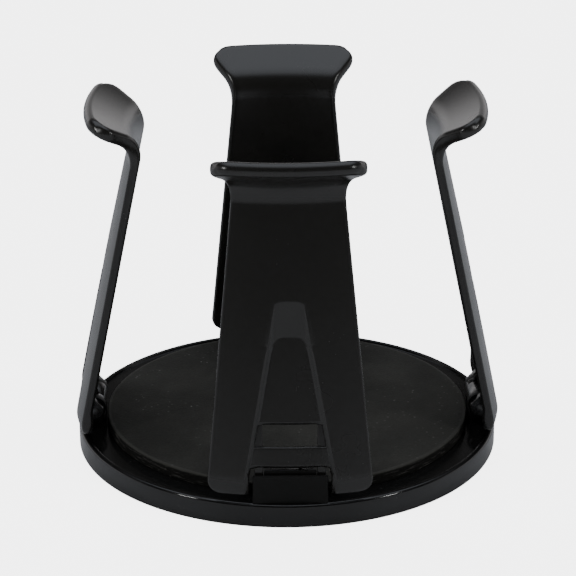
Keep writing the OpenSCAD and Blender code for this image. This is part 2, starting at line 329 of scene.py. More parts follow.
def moulded_plastic_group():
    """Polished moulded plastic: faint flow in the gloss, fine scuffs and settled dust."""
    g, n = new_group("moulded_plastic")
    socket(g, "Vector", "NodeSocketVector")
    socket(g, "Gloss", "NodeSocketFloat", value=0.2, low=0, high=1)
    socket(g, "Dust", "NodeSocketFloat", value=0.3, low=0, high=1)
    socket(g, "Roughness", "NodeSocketFloat", out=True)
    socket(g, "Height", "NodeSocketFloat", out=True)
    socket(g, "Dust mask", "NodeSocketFloat", out=True)
    i = n.add("NodeGroupInput")
    at = i.outputs["Vector"]
    flow = n.noise(at, 45, 3)
    scuff = n.ramp(n.noise(n.stretch(at, (900, 900, 120)), 1.0, 4, 0.65), 0.62, 0.8)
    patch = n.ramp(n.noise(at, 70, 2), 0.5, 0.72)
    scuffs = n.math("MULTIPLY", scuff, patch)
    fine = n.noise(at, 2600, 2)
    speck = n.ramp(n.cells(at, 900), 0.0, 0.16, 1, 0)
    dot = n.math("MULTIPLY", speck, n.ramp(n.noise(at, 310, 1), 0.58, 0.66))
    dust = n.math("MULTIPLY", dot, i.outputs["Dust"], True)
    rough = n.math("ADD", i.outputs["Gloss"], n.math("MULTIPLY", n.math("SUBTRACT", flow, 0.5), 0.1))
    rough = n.math("ADD", rough, n.math("MULTIPLY", scuffs, 0.03))
    rough = n.math("ADD", rough, n.math("MULTIPLY", dust, 0.4), True)
    height = n.math("ADD", n.math("MULTIPLY", fine, 0.6), n.math("MULTIPLY", flow, 0.4))
    n.add("NodeGroupOutput", {"Roughness": rough, "Height": height, "Dust mask": dust})
    return g


def rubber_group():
    """Soft grip mat: fine cells, broad tone, specks of lint, a torn grain on its cut side, and a
    painted highlight along its top edge.
    """
    g, n = new_group("grip_rubber")
    socket(g, "Vector", "NodeSocketVector")
    socket(g, "Top", "NodeSocketFloat", value=(FLOOR_Z + MAT_T) * MM, low=0, high=1)
    socket(g, "Radius", "NodeSocketFloat", value=MAT_R * MM, low=0, high=1)
    socket(g, "Height", "NodeSocketFloat", out=True)
    socket(g, "Tone", "NodeSocketFloat", out=True)
    socket(g, "Lint", "NodeSocketFloat", out=True)
    socket(g, "Side", "NodeSocketFloat", out=True)
    i = n.add("NodeGroupInput")
    at = i.outputs["Vector"]
    x, y, z = n.add("ShaderNodeSeparateXYZ", {0: at}).outputs
    out = n.math("SQRT", n.math("ADD", n.math("MULTIPLY", x, x), n.math("MULTIPLY", y, y)))
    below = n.math("SUBTRACT", i.outputs["Top"], z)
    side = n.ramp(below, 0.0002, 0.0006)
    # A thin lighter line round the top of the cut side: a painted highlight where the edge catches
    # the light.
    edge = n.ramp(n.math("SUBTRACT", i.outputs["Radius"], out), 0.0011, 0.0005)
    edge = n.math("MULTIPLY", edge, n.ramp(below, 0.0004, 0.0002))
    cell = n.cells(at, 1500)
    grain = n.noise(at, 1900, 4, 0.7)
    broad = n.ramp(n.noise(at, 38, 4, 0.6), 0.36, 0.64)
    patch = n.ramp(n.noise(at, 75, 2), 0.5, 0.62)
    torn = n.ramp(n.noise(n.stretch(at, (260, 260, 2600)), 1.0, 3, 0.6), 0.54, 0.66)
    torn_side = n.math("MULTIPLY", side, n.math("MULTIPLY", torn, 2.5))
    height = n.math("ADD", n.math("ADD", cell, grain), torn_side)
    tone = n.math("ADD", n.math("MULTIPLY", grain, 0.5), n.math("MULTIPLY", broad, 0.3))
    # The tone takes in the painted highlight on the top edge.
    tone = n.math("ADD", tone, n.math("MULTIPLY", edge, 0.5), True)
    spot = n.ramp(n.cells(at, 210), 0.03, 0.07, 1, 0)
    lint = n.math("MULTIPLY", spot, n.ramp(n.noise(at, 95, 0), 0.57, 0.6))
    fleck = n.math("MULTIPLY", n.ramp(n.cells(at, 520), 0.1, 0.2, 0.35, 0), patch)
    threads = n.math("MULTIPLY", n.math("MULTIPLY", side, torn), 0.3)
    lint = n.math("ADD", n.math("MAXIMUM", lint, fleck), threads, True)
    n.add("NodeGroupOutput", {"Height": height, "Tone": tone, "Lint": lint, "Side": side})
    return g


def metal_group():
    """Drawn steel: fine lines along one axis and a few darker patches."""
    g, n = new_group("drawn_steel")
    socket(g, "Vector", "NodeSocketVector")
    socket(g, "Polish", "NodeSocketFloat", value=0.3, low=0, high=1)
    socket(g, "Roughness", "NodeSocketFloat", out=True)
    socket(g, "Height", "NodeSocketFloat", out=True)
    socket(g, "Tarnish", "NodeSocketFloat", out=True)
    i = n.add("NodeGroupInput")
    at = i.outputs["Vector"]
    lines = n.noise(n.stretch(at, (4000, 4000, 500)), 1, 3)
    patch = n.ramp(n.noise(at, 420, 3), 0.45, 0.7)
    rough = n.math("ADD", i.outputs["Polish"], n.math("MULTIPLY", patch, 0.22))
    rough = n.math("ADD", rough, n.math("MULTIPLY", lines, 0.1), True)
    n.add("NodeGroupOutput", {"Roughness": rough, "Height": lines, "Tarnish": patch})
    return g


PLASTIC, RUBBER, METAL = moulded_plastic_group(), rubber_group(), metal_group()
DUST_COLOUR = (0.2, 0.2, 0.19, 1)


def new_material(name):
    m = bpy.data.materials.new(name)
    m.use_nodes = True
    n = Nodes(m.node_tree)
    at = n.add("ShaderNodeTexCoord").outputs["Object"]
    return m, n, at


def group_in(n, group, **values):
    made = n.add("ShaderNodeGroup", node_tree=group)
    n.feed(made, values)
    return made.outputs


def plastic(name, colour, gloss, dust, bump=0.04, specular=0.5):
    m, n, at = new_material(name)
    g = group_in(n, PLASTIC, Vector=at, Gloss=gloss, Dust=dust)
    n.surface(Base_Color=n.mix(g["Dust mask"], colour, DUST_COLOUR), Roughness=g["Roughness"],
              Normal=n.bump(g["Height"], bump, 0.00004), Specular_IOR_Level=specular)
    return m


def rubber(name, dark, light, lint_colour, side_colour):
    m, n, at = new_material(name)
    g = group_in(n, RUBBER, Vector=at, Top=(FLOOR_Z + MAT_T) * MM, Radius=MAT_R * MM)
    # The tone's lighter end includes the painted highlight on the mat's top edge.
    base = n.mix(n.ramp(g["Tone"], 0.2, 0.75), dark, light)
    base = n.mix(g["Side"], base, side_colour)
    base = n.mix(g["Lint"], base, lint_colour)
    n.surface(Base_Color=base, Roughness=0.8, Normal=n.bump(g["Height"], 0.5, 0.00012),
              Specular_IOR_Level=0.12)
    return m


def steel(name, colour, tarnish_colour, polish):
    m, n, at = new_material(name)
    g = group_in(n, METAL, Vector=at, Polish=polish)
    n.surface(Base_Color=n.mix(g["Tarnish"], colour, tarnish_colour), Roughness=g["Roughness"],
              Normal=n.bump(g["Height"], 0.15, 0.00002), Metallic=1.0)
    return m


arm_black = plastic("arm_black", (0.015, 0.0144, 0.013, 1), 0.26, 0.05)
tray_black = plastic("tray_black", (0.0085, 0.0085, 0.0082, 1), 0.12, 0.5, bump=0.02)
# The arms' black plastic made darker and duller: painted shade for the bracket, guard and apron,
# which sit in the dark of the arch.
bracket_painted_shade_black = plastic("bracket_painted_shade_black", (0.006, 0.006, 0.0052, 1), 0.5, 0.1,
                        bump=0.1, specular=0.2)
mat_dark = rubber("mat_dark", (0.026, 0.0256, 0.0226, 1), (0.056, 0.055, 0.0485, 1),
                  (0.2, 0.195, 0.18, 1), (0.012, 0.0118, 0.0105, 1))
pin_steel = steel("pin_steel", (0.14, 0.14, 0.14, 1), (0.08, 0.079, 0.076, 1), 0.25)
spring_steel = steel("spring_steel", (0.06, 0.06, 0.062, 1), (0.035, 0.033, 0.03, 1), 0.35)
screw_steel = steel("screw_steel", (0.3, 0.3, 0.31, 1), (0.18, 0.175, 0.17, 1), 0.3)


def finish(obj, material, slot):
    """Gives a piece its one material and its slot."""
    obj.data.materials.clear()
    obj.data.materials.append(material)
    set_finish(obj, slot)
    return obj


# The arm's wall

# Rounding of the outer face's edge and the cup face's along the legs, of both at the lip, and of
# the edges of the window and the arch
OUTER_R, CUP_R, LIP_R, GAP_R = 0.55, 1.5, 1.6, 0.38
# The roundings swell to the lip's over this length, from this far below the lip's end
SWELL_RUN, SWELL_BELOW = 9, 19
# The neck's place below the lip's height, and the roundings where the flare leaves and ends
NECK_BELOW, FLARE_FOOT_R, FLARE_TOP_R = 13.6, 10, 4.5
# The flare's angle, and a place it passes: so far below the lip's end and in from its side. It
# comes later on the cup's face
FLARE_ANGLE, FLARE_LENGTH, FLARE_IN, CUP_LATER = 37, 8.3, 1, 2.8
# How far the outline runs on below the foot and past the lip
RUN_BELOW, RUN_PAST = 20, 4
# The angle at which the lip's crowned face meets its bead
CROWN = 101.0

CUT = 45 - (LEAN + LIP_RISE) / 2
CUT_WAY = np.array([math.sin(math.radians(CUT)), math.cos(math.radians(CUT))])


def outer_at(z):
    """The outer face's place in the middle section, below the lip."""
    return WALL_X - FALL * (z - PIN_H)


def inner_at(z):
    """The cup face's place in the middle section, below the lip."""
    return INNER_X - FALL * (z - PIN_H)


# The outer face curls in below this height
CURL_Z = PIN_H + 2.5
CURL_MID = np.array([outer_at(CURL_Z), CURL_Z]) - FOOT_CURL * way(LEAN)
UNDER_END = TIP + BEAD_R * way(UNDER_SLOPE - 90)
UNDER_CORNER = meet(np.array([WALL_X, PIN_H]), UP, UNDER_END, UNDER_SLOPE)
CUP_CORNER = meet(np.array([INNER_X, PIN_H]), UP, TIP + BEAD_R * way(CUP_SLOPE + 90), CUP_SLOPE)
UNDER_BEND = turn(UNDER_CORNER, UP, UNDER_SLOPE, BEND_UNDER, 16)
CUP_BEND = turn(CUP_CORNER, UP, CUP_SLOPE, BEND_CUP, 16)


def outline(later=0.0):
    """Half width of the arm against its length, measured along the cut's direction."""
    neck_z = LIP_H - NECK_BELOW
    neck_s = float(np.dot([outer_at(neck_z), neck_z], CUT_WAY))
    foot_s = float(np.dot([FOOT_IN, FOOT_GAP], CUT_WAY))
    side = math.degrees(math.atan((NECK_HW - FOOT_HW) / (neck_s - foot_s)))
    lip_s = float(np.dot(TIP, CUT_WAY)) + BEAD_R
    flare = np.array([lip_s - FLARE_LENGTH + later, LIP_HW - FLARE_IN])
    foot = meet(np.array([neck_s, NECK_HW]), side, flare, FLARE_ANGLE)
    top = meet(foot, FLARE_ANGLE, np.array([lip_s, LIP_HW]), 0)
    below = [-RUN_BELOW, NECK_HW - math.tan(math.radians(side)) * (neck_s + RUN_BELOW)]
    return np.array([below] + turn(foot, side, FLARE_ANGLE, FLARE_FOOT_R, 24)
                    + turn(top, FLARE_ANGLE, 0, FLARE_TOP_R, 12) + [[lip_s + RUN_PAST, LIP_HW]])


OUTLINE, CUP_OUTLINE = outline(), outline(CUP_LATER)
LIP_S = OUTLINE[-1, 0] - RUN_PAST


def rounding(s_at, low):
    """The edge's radius at a place along the arm: it swells towards the lip."""
    t = np.clip((np.asarray(s_at) - (LIP_S - SWELL_BELOW)) / SWELL_RUN, 0, 1)
    return low + (LIP_R - low) * t * t * (3 - 2 * t)


def inset_outline(lines, low):
    """An outline moved in by its edge's rounding."""
    d = np.gradient(lines, axis=0)
    d /= np.linalg.norm(d, axis=1)[:, None]
    r = rounding(lines[:, 0], low)[:, None] if low else 0
    return lines + r * np.stack([d[:, 1], -d[:, 0]], 1)


def foot_x(z):
    """The outer face, curled in at the foot."""
    if z >= CURL_Z:
        return outer_at(z)
    return CURL_MID[0] + math.sqrt(FOOT_CURL ** 2 - (z - CURL_MID[1]) ** 2)


# The recess runs on so far under the crossbar. Above its top, where only the sheet's columns
# follow it, its side and bevel spread by these shares
RECESS_UNDER, SIDE_SPREAD, BEVEL_SPREAD = 2.5, 0.05, 0.04
BEVEL, LEAST_BEVEL = BEVEL_W - GAP_OVER, 0.35
# How far the ends of the ramp hang: at its top, and more at its foot
HANG_TOP, HANG_MORE = 0.45, 1.4
# The length in which the chamfers on the bars run out at their ends
CHAMFER_END = 1.2


def recess_w(z):
    """Half width of the recess."""
    if z >= RECESS_TOP:
        return RECESS_TOP_HW + (z - RECESS_TOP) * SIDE_SPREAD
    slope = (RECESS_FOOT_HW - RECESS_TOP_HW) / (RECESS_TOP - BAR_Z)
    return RECESS_FOOT_HW - (max(z, BAR_Z - RECESS_UNDER) - BAR_Z) * slope


def down_ramp(z):
    """How far down the ramp a height lies, from 0 at its top to 1 at its foot."""
    return min(1.0, max(0.0, (RECESS_TOP - z) / RAMP_L))


def recess_f(z):
    """Half width of the recess's floor, without its bevels."""
    least = LEAST_BEVEL + max(0.0, z - RECESS_TOP) * BEVEL_SPREAD
    return recess_w(z) - max(least, BEVEL * down_ramp(z))


def corner_drop(y, z):
    """How far the ramp's ends hang lower beside the recess's sides, which rounds their corners."""
    share = min(1.0, abs(y) / max(recess_f(z), 0.1)) ** 5
    return (HANG_TOP + HANG_MORE * down_ramp(z)) * share


def depth_at(y, z):
    """How far the outer face stands back at a place on the arm."""
    w = recess_w(z)
    if z >= RECESS_TOP or abs(y) >= w:
        return 0.0
    side = (w - abs(y)) / BEVEL
    ramp = (RECESS_TOP - corner_drop(y, z) - z) / RAMP_L
    depth = RECESS_D * max(0.0, min(1.0, side, ramp))
    for edge in (BAR_Z, WINDOW_TOP):
        if edge <= z < edge + GAP_CHAMFER:
            end = min(1.0, max(0.0, (recess_f(z) - abs(y)) / CHAMFER_END))
            depth += (GAP_CHAMFER - (z - edge)) * end
    return depth


# Columns of the sheet: half of them, from the middle to the side
FLOOR_COLS, BEVEL_COLS, SIDE_COLS = 6, 2, 11
HALF_COLS = FLOOR_COLS + BEVEL_COLS + SIDE_COLS
COLS = 2 * HALF_COLS + 1
# The narrow row or column that holds a crease, and the last row with a fixed height
HOLD, LAST_Z = 0.22, 61
# Each face's rows end this far from the lip's direction, where the two meet round the bead
TIP_SPLIT = 3
# The heights over the ramp's top and under its foot in which its hanging rows fade out
FADE_OVER, FADE_UNDER = 5, 4


def arm_rows(inset):
    """The rows of the sheet, foot to tip, each as its outer and inner place in the section.
    Where inset is 1 the sheet stops short of its edges by their rounding."""
    corner_z, gap = FOOT_GAP + FOOT_CORNER, GAP_R * inset
    rows = []
    for a in range(0, 91, 15):
        rows.append(("foot", [corner_z - (FOOT_CORNER - r * inset) * math.cos(math.radians(a))
                              for r in (OUTER_R, CUP_R)]))
    heights = [7.3, 8.5, ("arch", BAR_Z + gap), BAR_Z + GAP_CHAMFER, BAR_Z + GAP_CHAMFER + HOLD,
               12.2, 13.6, ("sill", SILL - gap), 16.9, 18.6, ("top", WINDOW_TOP + gap),
               WINDOW_TOP + GAP_CHAMFER, WINDOW_TOP + GAP_CHAMFER + HOLD,
               23.5, 26, 28.5, 31, 33.5, 36, 38.5, 40.4, 41.5, 41.8, RECESS_TOP - RAMP_L, 42.2, 42.5,
               44, 46, 48, 49.8, 50.6, RECESS_TOP - HOLD, RECESS_TOP, RECESS_TOP + HOLD,
               51.8, 53.5, 56, 58.5, LAST_Z]
    for h in heights:
        kind, z = h if isinstance(h, tuple) else ("wall", h)
        rows.append((kind, (z, z)))
    made = [(kind, np.array([foot_x(zo), zo]), np.array([min(FOOT_IN, inner_at(zi)), zi]))
            for kind, (zo, zi) in rows]
    for i in range(1, 5):
        zo, zi = (LAST_Z + (bend[0][1] - LAST_Z) * i / 5 for bend in (UNDER_BEND, CUP_BEND))
        made.append(("wall", np.array([outer_at(zo), zo]), np.array([inner_at(zi), zi])))
    made += [("wall", o, i) for o, i in zip(UNDER_BEND, CUP_BEND)]
    cup_end = TIP + BEAD_R * way(CROWN)
    crest = meet(CUP_BEND[-1], CUP_SLOPE, cup_end, CROWN - 90)
    for i in range(1, 8):
        t = i / 8
        made.append(("wall", UNDER_BEND[-1] * (1 - t) + UNDER_END * t,
                     curve(CUP_BEND[-1], crest, cup_end, t)))
    for i in range(13):
        t = i / 12
        under = (UNDER_SLOPE - 90) * (1 - t) + (LIP_RISE - TIP_SPLIT) * t
        over = CROWN * (1 - t) + (LIP_RISE + TIP_SPLIT) * t
        made.append(("tip", TIP + BEAD_R * way(under), TIP + BEAD_R * way(over)))
    return made


def bowed(x, y):
    """Where a place of the middle section lies once it is swept aside round the bow's axis."""
    return BOW_X + math.sqrt((x - BOW_X) ** 2 - y * y)


def side_edge(place, lines, low):
    """Half width of the arm at a place in its section, on its bowed face."""
    z = place[1]
    y = NECK_HW
    for _ in range(12):
        x = bowed(place[0], y)
        s_at = x * CUT_WAY[0] + z * CUT_WAY[1]
        y = float(np.interp(s_at, lines[:, 0], lines[:, 1]))
    corner_z = FOOT_GAP + FOOT_CORNER
    if z < corner_z:
        wide = side_edge((foot_x(corner_z), corner_z), OUTLINE, 0) - FOOT_CORNER
        y = min(y, wide + math.sqrt(max(0.0, (FOOT_CORNER - low) ** 2 - (corner_z - z) ** 2)))
    # The lip's corner, turned in the lip's own plane
    past = float(np.dot(np.array(place) - TIP, way(LIP_RISE))) - (BEAD_R - LIP_CORNER)
    if past > 0:
        r = LIP_CORNER - (float(rounding(s_at, low)) if low else 0)
        y = min(y, LIP_HW - LIP_CORNER + math.sqrt(max(0.0, r * r - past * past)))
    return y


def half_columns(f, w, edge):
    """Places across half of the sheet: the recess's floor, its bevel, and the wall to the edge."""
    hold = min(HOLD, f * 0.3)
    floor = [(f - hold) * n / (FLOOR_COLS - 1) for n in range(FLOOR_COLS)] + [f]
    bevel = [f + (w - f) * n / BEVEL_COLS for n in range(1, BEVEL_COLS + 1)]
    first = min(HOLD, (edge - w) * 0.1)
    side = [w + first + (edge - w - first) * n / (SIDE_COLS - 1) for n in range(SIDE_COLS)]
    return floor + bevel + side


def row_drop(kind, y, z, n):
    """How far a column hangs at the ramp. It fades out above, below and towards the side."""
    if kind != "wall":
        return 0.0
    foot = RECESS_TOP - RAMP_L
    near = 1 - min(1.0, max(0.0, (z - RECESS_TOP) / FADE_OVER, (foot - z) / FADE_UNDER))
    beyond = 1 if n <= FLOOR_COLS + BEVEL_COLS else (HALF_COLS - n) / SIDE_COLS
    return corner_drop(min(y, recess_f(z)), z) * near * beyond


def arm_sheet(inset):
    """Outer and inner places of every vertex of the sheet, in millimetres."""
    outer_line = inset_outline(OUTLINE, OUTER_R * inset)
    cup_line = inset_outline(CUP_OUTLINE, CUP_R * inset)
    outer, inner = [], []
    for kind, o, i in arm_rows(inset):
        z = o[1]
        f, w = recess_f(z), recess_w(z)
        if z <= WINDOW_TOP + 0.5:
            f += GAP_R * inset
        across_o = half_columns(f, w, side_edge(o, outer_line, OUTER_R * inset))
        across_i = half_columns(f, w, side_edge(i, cup_line, CUP_R * inset))
        row_o, row_i = [], []
        for c in range(-HALF_COLS, HALF_COLS + 1):
            n, s = abs(c), (1 if c >= 0 else -1)
            y = across_o[n]
            zo = z - row_drop(kind, y, z, n)
            x = foot_x(zo) if kind != "tip" and zo < LAST_Z else o[0]
            row_o.append((bowed(x - depth_at(y, zo), y), y * s, zo))
            row_i.append((bowed(i[0], across_i[n]), across_i[n] * s, i[1]))
        outer.append(row_o)
        inner.append(row_i)
    return np.array(outer), np.array(inner)


# Where each vertex of the sheet would lie: on the outer face where its rounding starts and at its
# sharp edge, and then on the cup's face
PLACES = ("outer_stop", "outer_edge", "cup_edge", "cup_stop")
# Steps of the rim: round one edge, straight across and round the other
RIM_STEPS = [(stage, t / steps) for stage, steps in (("outer", 5), ("across", 2), ("cup", 5))
             for t in range(1, steps + 1)]
# The share of the rim's width that its two roundings may take up
RIM_SHARE = 0.96


def rim_place(places, stage, t):
    """Where a vertex of the rim lies at a step of its way from the outer face to the cup's."""
    outer_stop, outer_edge, cup_edge, cup_stop = places
    across = cup_edge - outer_edge
    outer_r, cup_r = (outer_edge - outer_stop).length, (cup_edge - cup_stop).length
    share = min(1.0, across.length * RIM_SHARE / max(outer_r + cup_r, 1e-6))
    outer_end = outer_edge + across.normalized() * outer_r * share
    cup_start = cup_edge - across.normalized() * cup_r * share
    if stage == "outer":
        return curve(outer_stop, outer_edge, outer_end, t)
    if stage == "across":
        return outer_end.lerp(cup_start, t)
    return curve(cup_start, cup_edge, cup_stop, t)


def arm_wall(name):
    """The wall: a grid laid on the outer face, with its gaps cut out, a second one on the cup's
    face, and a rounded rim drawn out from the edge of one to the edge of the other."""
    kinds = [r[0] for r in arm_rows(1)]
    arch, sill, top = kinds.index("arch"), kinds.index("sill"), kinds.index("top")
    (outer_stop, cup_stop), (outer_edge, cup_edge) = arm_sheet(1), arm_sheet(0)
    deselect_all()
    bpy.ops.mesh.primitive_grid_add(x_subdivisions=COLS - 1, y_subdivisions=len(kinds) - 1, size=1)
    obj = bpy.context.object
    obj.name = obj.data.name = name
    me = obj.data
    where = np.zeros(len(kinds) * COLS, int)
    where[np.lexsort((coords(obj)[:, 0].round(6), coords(obj)[:, 1].round(6)))] = range(len(where))
    row, off_middle = where // COLS, abs(where % COLS - HALF_COLS)
    for key, sheet in zip(PLACES, (outer_stop, outer_edge, cup_edge, cup_stop)):
        a = me.attributes.new(key, "FLOAT_VECTOR", "POINT")
        a.data.foreach_set("vector", sheet.reshape(-1, 3)[where].ravel())
    set_coords(obj, outer_stop.reshape(-1, 3)[where])

    # The gaps: the arch and the window
    pick(obj)
    bpy.ops.object.mode_set(mode="EDIT")
    bpy.context.tool_settings.mesh_select_mode = (False, False, True)
    bpy.ops.mesh.select_all(action="DESELECT")
    bm = bmesh.from_edit_mesh(me)
    for f in bm.faces:
        vs = [v.index for v in f.verts]
        low, high = row[vs].min(), row[vs].max()
        gap = high <= arch or (low >= sill and high <= top)
        f.select = bool(gap and off_middle[vs].max() <= FLOOR_COLS)
    bmesh.update_edit_mesh(me)
    bpy.ops.mesh.delete(type="FACE")

    # The cup's face: the same grid, turned over
    bpy.ops.mesh.select_all(action="SELECT")
    bm = bmesh.from_edit_mesh(me)
    bpy.ops.mesh.duplicate()
    cup_layer = bm.verts.layers.float_vector["cup_stop"]
    for v in bm.verts:
        if v.select:
            v.co = v[cup_layer]
    bmesh.update_edit_mesh(me)
    bpy.ops.mesh.flip_normals()

    # The rim, drawn out from the outer face's edge in steps
    bpy.ops.mesh.select_all(action="DESELECT")
    bpy.context.tool_settings.mesh_select_mode = (False, True, False)
    bm = bmesh.from_edit_mesh(me)
    outer_layer = bm.verts.layers.float_vector["outer_stop"]
    for e in bm.edges:
        on_outer = all((v.co - Vector(v[outer_layer])).length < 1e-7 for v in e.verts)
        e.select = e.is_boundary and on_outer
    bm.select_flush_mode()
    bmesh.update_edit_mesh(me)
    for stage, t in RIM_STEPS:
        bpy.ops.mesh.extrude_edges_move()
        bm = bmesh.from_edit_mesh(me)
        layers = [bm.verts.layers.float_vector[k] for k in PLACES]
        for v in bm.verts:
            if v.select:
                v.co = rim_place([Vector(v[k]) for k in layers], stage, t)
        bmesh.update_edit_mesh(me)
    bpy.ops.object.mode_set(mode="OBJECT")
    set_coords(obj, to_frame(coords(obj), 0))
    for key in PLACES:
        me.attributes.remove(me.attributes[key])
    clean(obj, 2e-6)
    smooth(obj)
    return obj


# The lugs

# How far a lug stands out of the cup's face, the length of its run-out and the knuckle's turn
LUG_DEPTH, LUG_RUN_OUT, KNUCKLE_TURN = 0.9, 7, 200


def arm_lug(name, sign):
    """A lug: a shallow rib up the cup's face with the knuckle below it, beside the arm's middle."""
    mid = LUG_Y + LUG_T / 2
    sag = BOW_R - math.sqrt(BOW_R ** 2 - mid ** 2)
    deep, seat = sag + LUG_DEPTH, LUG_SEAT - sag
    knuckle = [HUB + KNUCKLE_R * way(a) for a in np.linspace(0, -KNUCKLE_TURN, 24)]
    end = LUG_TOP - LUG_RUN_OUT
    rib = [(inner_at(BAR_Z) - deep, BAR_Z), (inner_at(end) - deep, end),
           (inner_at(LUG_TOP) + seat, LUG_TOP), (inner_at(BAR_Z) + seat, BAR_Z)]
    obj = outline_piece(name, knuckle + rib)
    draw_out(obj, LUG_T)
    co = coords(obj)
    co[:, 1] += (sign * mid - LUG_T / 2) * MM
    set_coords(obj, to_frame(co / MM, 0))
    clean(obj)
    soften(obj, 0.2 * MM, 3)
    return obj


# Tray and mat

# The way down the rim's inner side, half as wide as it is high
RIM_SLOPE = 243.4


def tray_shell():
    """The tray's turned shell. The points along its flat faces keep their shading even."""
    under = FLOOR_Z - FLOOR_T
    skirt_in = BASE_R - SKIRT_T
    top = FLOOR_Z + RIM_H
    profile = [(0, under), (10, under), (30, under), (skirt_in - 0.8, under)]
    profile += turn((skirt_in, under), 0, -90, 0.5, 4)
    profile += turn((skirt_in, 0.0), -90, 0, 0.25, 3)
    profile += turn((BASE_R, 0.0), 0, 90, 0.5, 5)
    profile += [(BASE_R, 2.0), (BASE_R, 4.0)]
    profile += turn((BASE_R, top), 90, 180, 0.75, 9)
    profile += turn((BASE_R - RIM_W, top), 180, RIM_SLOPE, 0.3, 5)
    profile += turn((BASE_R - RIM_W - RIM_H / 2, FLOOR_Z), RIM_SLOPE, 180, 0.25, 4)
    profile += [(r, FLOOR_Z) for r in (51, 48, 40, 20, 0)]
    obj = lathe("tray_shell", profile, 256)
    smooth(obj)
    return obj


def tray_ribs():
    """The two rings and the radial ribs under the floor, joined into one web."""
    under = FLOOR_Z - FLOOR_T
    top = under + 0.5
    rings = []
    for r in (HUB_R, RING_R):
        lo, hi = r - RIB_T / 2, r + RIB_T / 2
        rings.append(lathe("ring", [(lo, RIB_GAP), (hi, RIB_GAP), (hi, top), (lo, top)], 128))
    web = rings[0]
    join_solid(web, rings[1])
    length = BASE_R - SKIRT_T + 0.3 - HUB_R
    for i in range(RIB_COUNT):
        rib = unit_box()
        co = coords(rib) * [length, RIB_T, top - RIB_GAP]
        set_coords(rib, co + np.array([HUB_R + length / 2, 0, (top + RIB_GAP) / 2]) * MM)
        rib.data.transform(Matrix.Rotation(math.radians((i + 0.5) * 360 / RIB_COUNT), 4, "Z"))
        join_solid(web, rib)
    web.name = web.data.name = "tray_ribs"
    soften(web, 0.15 * MM, 2, 40)
    return web


# How far the mat's side waves and its top dips
MAT_WAVE, MAT_DIP = 0.035, 0.02


def grip_mat():
    """The mat, with its cut side a little wavy and its top not quite even."""
    top = FLOOR_Z + MAT_T
    profile = [(0, FLOOR_Z), (30, FLOOR_Z)] + turn((MAT_R, FLOOR_Z), 0, 90, 0.15, 2)
    profile += [(MAT_R, FLOOR_Z + z) for z in (0.6, 1.1, 1.6, 2.1)]
    profile += turn((MAT_R, top), 90, 180, 0.45, 5)
    profile += [(x, top) for x in (46.4, 45.6, 44.6, 43.2, 41.4, 39, 36, 32, 27, 21, 14, 7, 0)]
    obj = lathe("mat", profile, 360)
    co = coords(obj) / MM
    ang = np.arctan2(co[:, 1], co[:, 0])
    rad = np.hypot(co[:, 0], co[:, 1])
    side = np.clip((rad - 46.5) / 0.8, 0, 1) * np.clip((co[:, 2] - FLOOR_Z - 0.3) / 0.6, 0, 1)
    rng = np.random.default_rng(7)
    wave = np.zeros(len(co))
    for k in range(40):
        f, ph, fz = rng.integers(20, 170), rng.uniform(0, 2 * np.pi), rng.uniform(0, 4)
        wave += np.sin(ang * f + ph + fz * co[:, 2]) * rng.uniform(0.3, 1)
    wave *= MAT_WAVE / np.abs(wave).max()
    scale = 1 - side * (0.02 + wave + MAT_WAVE) / np.maximum(rad, 1)
    co[:, 0] *= scale
    co[:, 1] *= scale
    dip = MAT_DIP * (1 + np.sin(ang * 5 + rad * 0.3))
    co[:, 2] -= np.clip((co[:, 2] - top + 0.3) / 0.3, 0, 1) * dip
    set_coords(obj, co * MM)
    smooth(obj)
    return obj


# Hinge hardware

def softened_copy(node, name, width):
    """A CAD node's solids with their edges rounded."""
    src = frame["nodes"][node]
    obj = src.copy()
    obj.data = src.data.copy()
    obj.parent = None
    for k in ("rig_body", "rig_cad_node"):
        if k in obj:
            del obj[k]
    obj.name = obj.data.name = name
    bpy.context.scene.collection.objects.link(obj)
    edit(obj, lambda: bpy.ops.mesh.remove_doubles(threshold=1e-6))
    apply_modifier(obj, "DECIMATE", decimate_type="DISSOLVE", angle_limit=math.radians(0.5))
    soften(obj, width, 2, 35)
    return obj


def along_pin(name, section, half, round_off):
    """A section in the XZ plane of a station, drawn out along the pin to both sides."""
    obj = outline_piece(name, section)
    draw_out(obj, 2 * half)
    co = coords(obj)
    co[:, 1] -= half * MM
    set_coords(obj, to_frame(co / MM, 0))
    clean(obj)
    soften(obj, round_off, 3, 25)
    return obj


# The cover over the spring: its radii, the angles that it spans round the pin, its half length,
# and the size and middle of its slot
COVER_OUT, COVER_IN, COVER_SPAN, COVER_HALF = 2.83, 2.25, (96, 202), 4.5
SLOT_SIZE, SLOT_MIDDLE = (2.6, 1.1, 3.2), (-0.85, 2.55, PIN_H + 2.85)
# The sections of the apron and the guard in a station's XZ plane, and their half lengths
APRON = [(2.58, 0.1), (2.58, 5.4), (3.45, 8.5), (4.12, 8.32), (3.3, 5.2), (3.3, 0.1)]
GUARD = [(2.35, 4.6), (2.35, 9.1), (2.5, 9.25), (2.85, 9.2), (3.0, 4.6)]
APRON_HALF, GUARD_HALF = 9.3, 6.45


def hinge_housing(name):
    """The cover over the spring between the ears, with a slot for the spring's leg."""
    angles = np.linspace(*COVER_SPAN, 21)
    section = [HUB + COVER_OUT * way(a) for a in angles]
    section += [HUB + COVER_IN * way(a) for a in angles[::-1]]
    obj = along_pin(name, section, COVER_HALF, 0.12 * MM)
    slot = unit_box()
    set_coords(slot, to_frame(coords(slot) / MM * SLOT_SIZE + SLOT_MIDDLE, 0))
    join_solid(obj, slot, "DIFFERENCE")
    clean(obj)
    smooth(obj)
    return obj


